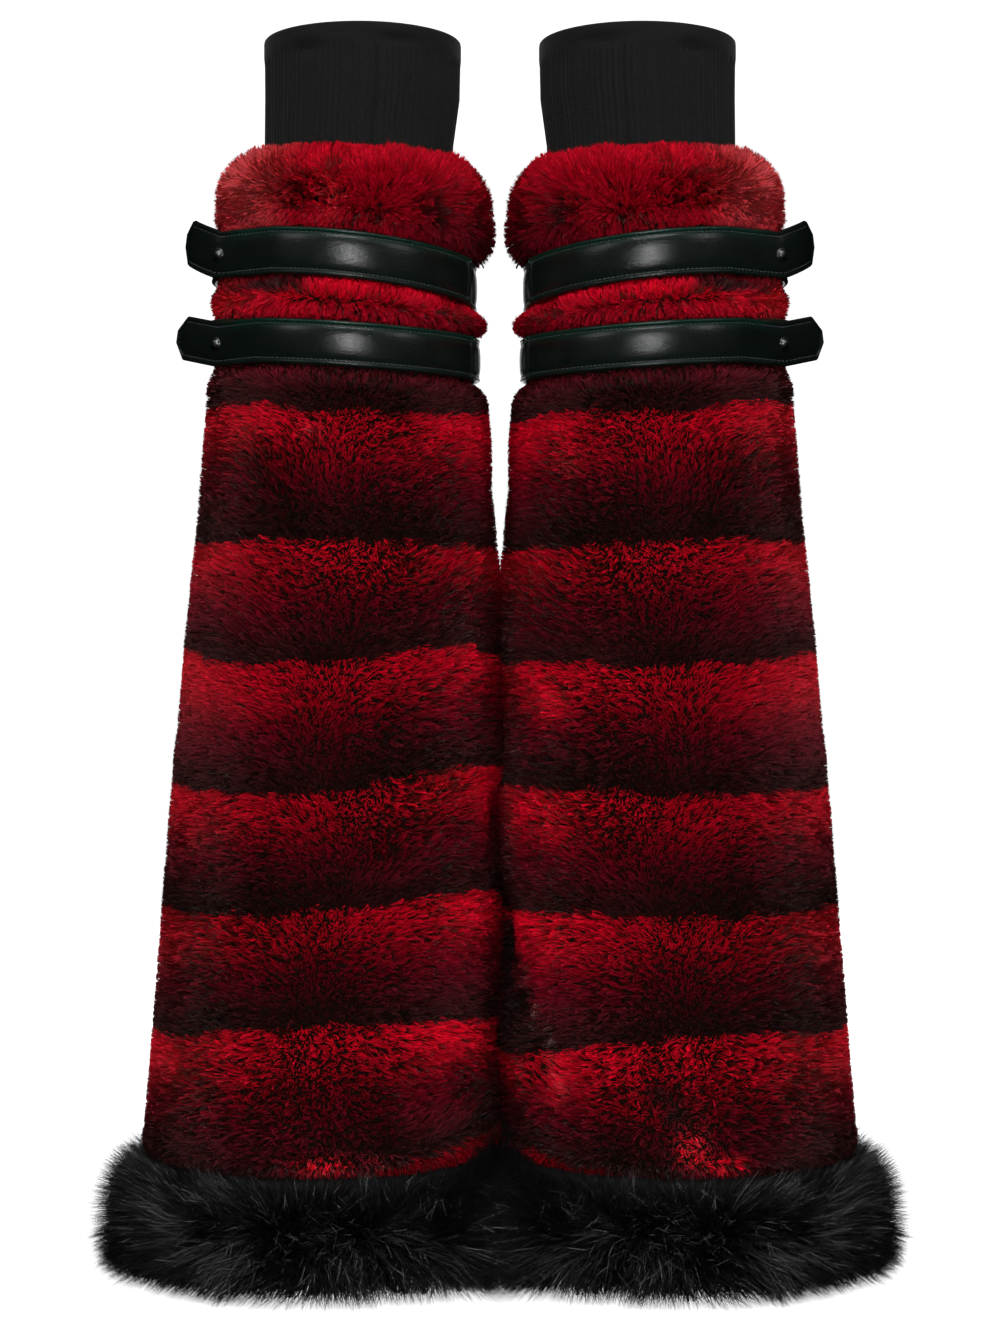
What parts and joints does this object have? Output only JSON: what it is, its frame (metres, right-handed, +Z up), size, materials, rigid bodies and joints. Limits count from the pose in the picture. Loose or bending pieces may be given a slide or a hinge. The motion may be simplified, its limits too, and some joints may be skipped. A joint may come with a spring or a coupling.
{
  "type": "pair of leg warmers",
  "caption": "Pair of flared faux-fur leg warmers with ribbed knit cuffs, snap-fastened straps and long-pile hems, filled out as worn.",
  "frame": {"origin": "midway between the axes of the two cuffs, at half the height of the cuffs, where the wearer's legs hold the pair", "axes": "+Z up the legs, +X to the right as seen from the front, -Y to the front"},
  "size_m": [0.3832, 0.2155, 0.5725],
  "materials": {
    "knit": "matte black rib knit",
    "striped_fur": "short dense faux fur in red fading to black across each stripe",
    "black_fur": "long shaggy black faux fur",
    "strap": "glossy black faux leather with turned, stitched edges",
    "snap": "glossy black dome"
  },
  "bodies": {
    "root": {"cuff_left": "knit", "fur_left": "striped_fur", "hem_left": "black_fur", "strap_upper_left": "strap", "snap_upper_left": "snap", "strap_lower_left": "strap", "snap_lower_left": "snap", "cuff_right": "knit", "fur_right": "striped_fur", "hem_right": "black_fur", "strap_upper_right": "strap", "snap_upper_right": "snap", "strap_lower_right": "strap", "snap_lower_right": "snap"}
  },
  "joints": []
}
